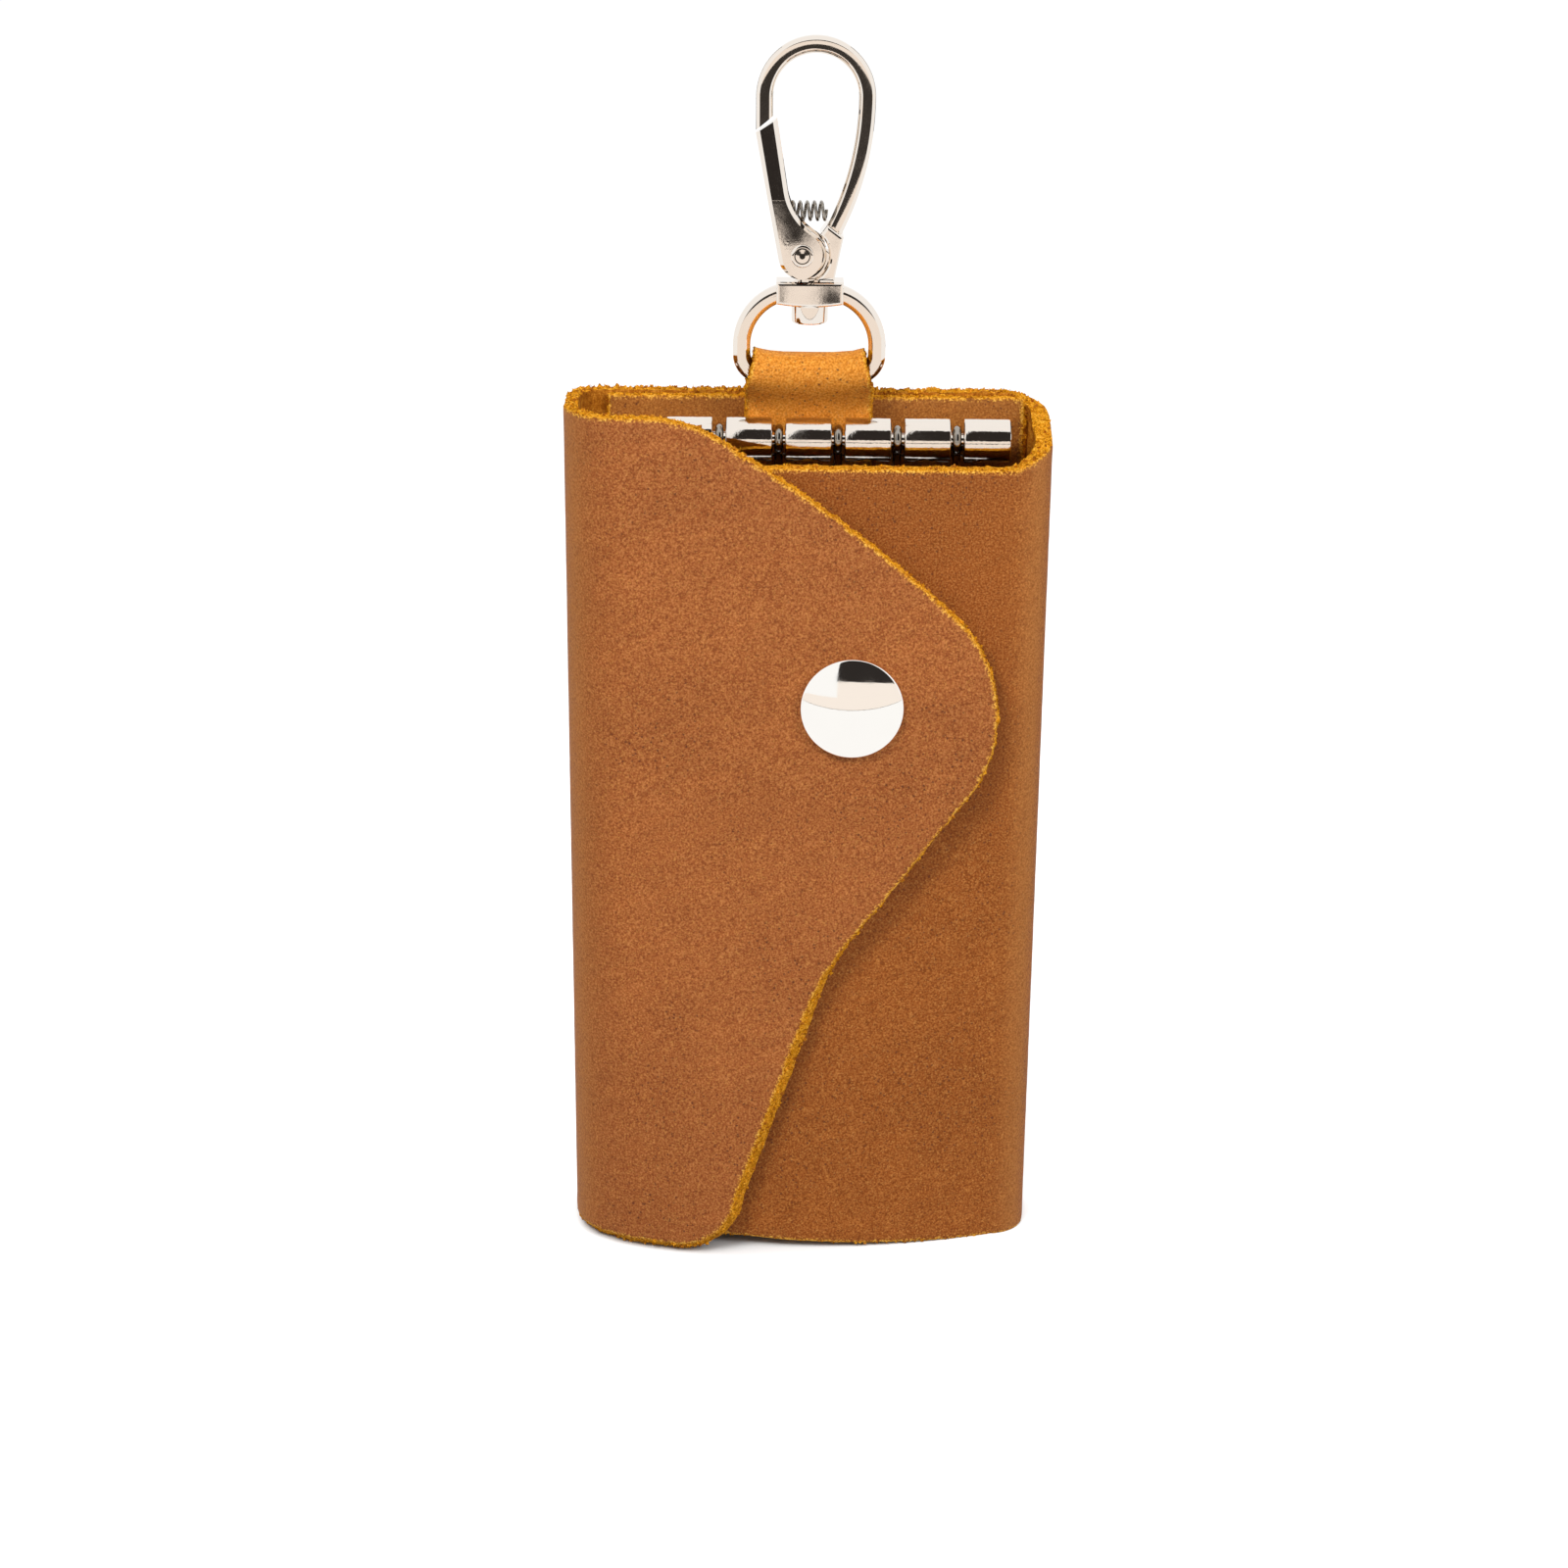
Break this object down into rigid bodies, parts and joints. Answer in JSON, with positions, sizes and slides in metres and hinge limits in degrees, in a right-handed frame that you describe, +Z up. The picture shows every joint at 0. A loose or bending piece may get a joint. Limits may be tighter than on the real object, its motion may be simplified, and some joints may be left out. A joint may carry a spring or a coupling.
{
  "type": "key case",
  "caption": "Leather key case: a wrap with a pointed snap flap, a slotted key row with wire hooks inside, and a swivel snap hook on a strap at the top.",
  "frame": {"origin": "middle of the footprint, on the surface that the case stands on", "axes": "+X to the viewer's right, +Y to the back of the case, +Z up towards the hook"},
  "size_m": [0.0616, 0.0208, 0.1588],
  "materials": {
    "tan_leather": "waxed pull-up leather with raw cut edges",
    "lining_leather": "thin skived leather, flesh side out",
    "nickel": "polished nickel plate",
    "spring_steel": "drawn steel wire"
  },
  "bodies": {
    "case_back": {"back_panel": "tan_leather", "inner_lining": "lining_leather", "hanging_strap": "tan_leather", "key_plate": "nickel", "key_rod": "nickel", "plate_rivets": "nickel"},
    "left_side": {"left_spine": "tan_leather"},
    "front_flap": {"flap": "tan_leather", "snap_cap": "nickel", "snap_socket": "nickel", "socket_spring": "spring_steel"},
    "right_side": {"right_spine": "tan_leather"},
    "front_cover": {"front_panel": "tan_leather", "snap_stud": "nickel", "stud_post": "nickel"},
    "ring": {"swivel_ring": "nickel"},
    "hook": {"swivel_stud": "nickel", "hook_frame": "nickel", "gate_pin": "nickel", "gate_spring": "spring_steel"},
    "gate": {"hook_gate": "nickel"},
    "key_hook_1": {"key_hook_1": "nickel"},
    "key_hook_2": {"key_hook_2": "nickel"},
    "key_hook_3": {"key_hook_3": "nickel"},
    "key_hook_4": {"key_hook_4": "nickel"},
    "key_hook_5": {"key_hook_5": "nickel"},
    "key_hook_6": {"key_hook_6": "nickel"}
  },
  "joints": [
    {"name": "left_spine_fold", "type": "hinge", "parent": "case_back", "child": "left_side", "pos_m": [-0.02897, 0.00862, 0], "axis": [0, 0, -1], "range_deg": [0, 90], "deforming": ["left_spine"]},
    {"name": "flap_fold", "type": "hinge", "parent": "left_side", "child": "front_flap", "pos_m": [-0.02833, -0.00558, 0], "axis": [0, 0, -1], "range_deg": [0, 90], "deforming": ["socket_spring"]},
    {"name": "right_spine_fold", "type": "hinge", "parent": "case_back", "child": "right_side", "pos_m": [0.02897, 0.00862, 0], "axis": [0, 0, 1], "range_deg": [0, 50.4], "deforming": ["right_spine"]},
    {"name": "front_panel_fold", "type": "hinge", "parent": "right_side", "child": "front_cover", "pos_m": [0.02897, -0.00282, 0], "axis": [0, 0, 1], "range_deg": [0, 50.4]},
    {"name": "ring_tilt", "type": "hinge", "parent": "case_back", "child": "ring", "pos_m": [0, 0.0051, 0.1169], "axis": [1, 0, 0], "range_deg": [-85, 85]},
    {"name": "hook_swivel", "type": "hinge", "parent": "ring", "child": "hook", "pos_m": [0, 0.0051, 0.1275], "axis": [0, 0, 1], "continuous": true},
    {"name": "gate_open", "type": "hinge", "parent": "hook", "child": "gate", "pos_m": [-0.001, 0.0051, 0.1323], "axis": [0, 1, 0], "range_deg": [0, 20], "stiffness_Nm_per_rad": 0.05, "springref_deg": -20.05, "deforming": ["gate_spring"]},
    {"name": "key_hook_1_swing", "type": "hinge", "parent": "case_back", "child": "key_hook_1", "pos_m": [-0.01875, 0.0024, 0.1092], "axis": [1, 0, 0], "range_deg": [-6, 6]},
    {"name": "key_hook_2_swing", "type": "hinge", "parent": "case_back", "child": "key_hook_2", "pos_m": [-0.01125, 0.0024, 0.1092], "axis": [1, 0, 0], "range_deg": [-6, 6]},
    {"name": "key_hook_3_swing", "type": "hinge", "parent": "case_back", "child": "key_hook_3", "pos_m": [-0.00375, 0.0024, 0.1092], "axis": [1, 0, 0], "range_deg": [-6, 6]},
    {"name": "key_hook_4_swing", "type": "hinge", "parent": "case_back", "child": "key_hook_4", "pos_m": [0.00375, 0.0024, 0.1092], "axis": [1, 0, 0], "range_deg": [-6, 6]},
    {"name": "key_hook_5_swing", "type": "hinge", "parent": "case_back", "child": "key_hook_5", "pos_m": [0.01125, 0.0024, 0.1092], "axis": [1, 0, 0], "range_deg": [-6, 6]},
    {"name": "key_hook_6_swing", "type": "hinge", "parent": "case_back", "child": "key_hook_6", "pos_m": [0.01875, 0.0024, 0.1092], "axis": [1, 0, 0], "range_deg": [-6, 6]}
  ],
  "couplings": [
    {"joint": "flap_fold", "follows": "left_spine_fold", "ratio": 1},
    {"joint": "right_spine_fold", "follows": "left_spine_fold", "ratio": 0.56},
    {"joint": "front_panel_fold", "follows": "left_spine_fold", "ratio": 0.56}
  ]
}
